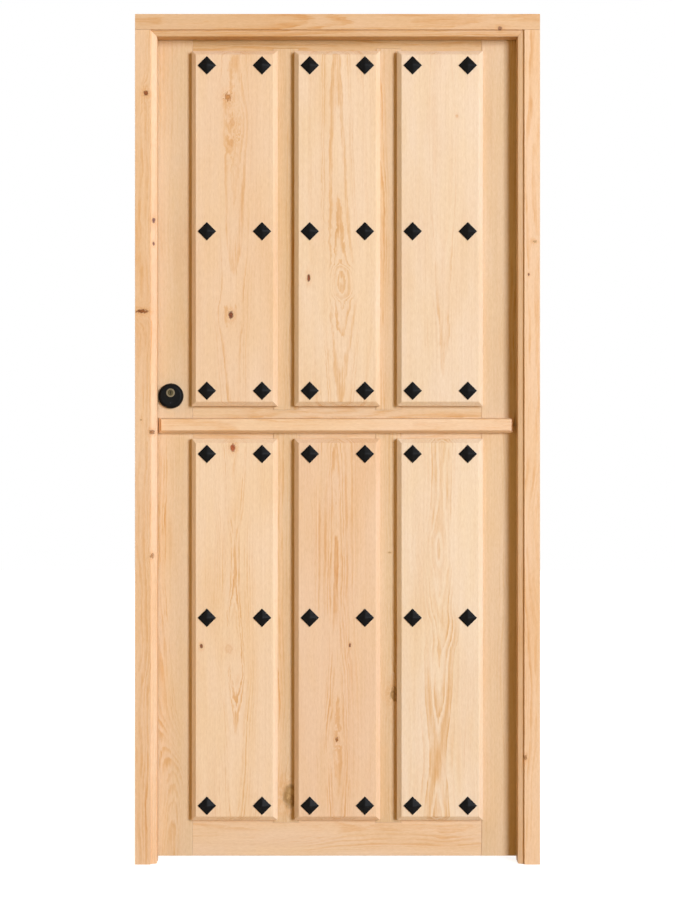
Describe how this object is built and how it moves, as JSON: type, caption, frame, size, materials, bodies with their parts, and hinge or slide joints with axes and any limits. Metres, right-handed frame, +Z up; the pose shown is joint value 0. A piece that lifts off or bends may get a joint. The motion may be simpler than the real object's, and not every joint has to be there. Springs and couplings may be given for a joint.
{
  "type": "split exterior door",
  "caption": "Split inward-opening pine door with its frame: lower and upper leaf, raised boards with black iron nails, weather bar over the joint, deadlock and sliding bolts.",
  "frame": {"origin": "middle of the whole door in width and depth, on the floor line under the jambs", "axes": "+Z up, +X towards the hinge side, +Y towards the inside; the outside face looks along -Y"},
  "size_m": [1, 0.1404, 2.1],
  "materials": {
    "frame_wood": "clear satin varnish on knotty pine",
    "leaf_wood": "clear satin varnish on pine",
    "board_wood": "clear satin varnish on flat-sawn pine",
    "black_iron": "black satin paint on forged iron",
    "steel": "brushed",
    "brass": "dull nickel-plated brass",
    "rubber": "matt"
  },
  "bodies": {
    "frame": {"frame_head": "frame_wood", "frame_jamb_hinge_side": "frame_wood", "frame_jamb_lock_side": "frame_wood", "hinge_lower_bottom_frame_half": "black_iron", "hinge_lower_bottom_pin": "steel", "hinge_lower_top_frame_half": "black_iron", "hinge_lower_top_pin": "steel", "hinge_upper_bottom_frame_half": "black_iron", "hinge_upper_bottom_pin": "steel", "hinge_upper_top_frame_half": "black_iron", "hinge_upper_top_pin": "steel", "lower_bolt_keep": "black_iron", "seal_head": "rubber", "seal_hinge_side": "rubber", "seal_lock_side": "rubber", "strike_plate": "steel"},
    "lower_leaf": {"hinge_lower_bottom_leaf_half": "black_iron", "hinge_lower_top_leaf_half": "black_iron", "joining_bolt_base": "black_iron", "lower_board_1": "board_wood", "lower_board_2": "board_wood", "lower_board_3": "board_wood", "lower_bolt_base": "black_iron", "lower_bottom_rail": "leaf_wood", "lower_core_panel_1": "leaf_wood", "lower_core_panel_2": "leaf_wood", "lower_core_panel_3": "leaf_wood", "lower_muntin_1": "leaf_wood", "lower_muntin_2": "leaf_wood", "lower_stile_hinge_side": "leaf_wood", "lower_stile_lock_side": "leaf_wood", "lower_top_rail": "leaf_wood", "meeting_bar": "leaf_wood"},
    "upper_leaf": {"escutcheon_inner": "black_iron", "escutcheon_outer": "black_iron", "hinge_upper_bottom_leaf_half": "black_iron", "hinge_upper_top_leaf_half": "black_iron", "joining_bolt_keep": "black_iron", "lock_case": "steel", "lock_cylinder": "brass", "lock_forend": "steel", "pull_handle": "black_iron", "upper_board_1": "board_wood", "upper_board_2": "board_wood", "upper_board_3": "board_wood", "upper_bottom_rail": "leaf_wood", "upper_core_panel_1": "leaf_wood", "upper_core_panel_2": "leaf_wood", "upper_core_panel_3": "leaf_wood", "upper_muntin_1": "leaf_wood", "upper_muntin_2": "leaf_wood", "upper_stile_hinge_side": "leaf_wood", "upper_stile_lock_side": "leaf_wood", "upper_top_rail": "leaf_wood"},
    "key_plug": {"cylinder_plug": "brass", "keyhole_disc": "brass"},
    "deadbolt": {"deadbolt": "steel"},
    "lower_bolt": {"lower_bolt_rod": "black_iron"},
    "joining_bolt": {"joining_bolt_rod": "black_iron"}
  },
  "joints": [
    {"name": "lower_leaf_swing", "type": "hinge", "parent": "frame", "child": "lower_leaf", "pos_m": [0.4585, 0.03385, 0.5435], "axis": [0, 0, -1], "range_deg": [0, 90]},
    {"name": "upper_leaf_swing", "type": "hinge", "parent": "lower_leaf", "child": "upper_leaf", "pos_m": [0.4585, 0.03385, 1.5935], "axis": [0, 0, -1], "range_deg": [0, 90]},
    {"name": "key_turn", "type": "hinge", "parent": "upper_leaf", "child": "key_plug", "pos_m": [-0.4155, 0.00335, 1.166], "axis": [0, 1, 0], "range_deg": [0, 360]},
    {"name": "deadbolt_throw", "type": "slide", "parent": "upper_leaf", "child": "deadbolt", "axis": [-1, 0, 0], "range_m": [0, 0.02]},
    {"name": "lower_bolt_slide", "type": "slide", "parent": "lower_leaf", "child": "lower_bolt", "axis": [-1, 0, 0], "range_m": [0, 0.03]},
    {"name": "joining_bolt_slide", "type": "slide", "parent": "lower_leaf", "child": "joining_bolt", "axis": [0, 0, 1], "range_m": [0, 0.03]}
  ],
  "couplings": [
    {"joint": "key_turn", "follows": "deadbolt_throw", "rad_per_m": 314.15}
  ]
}
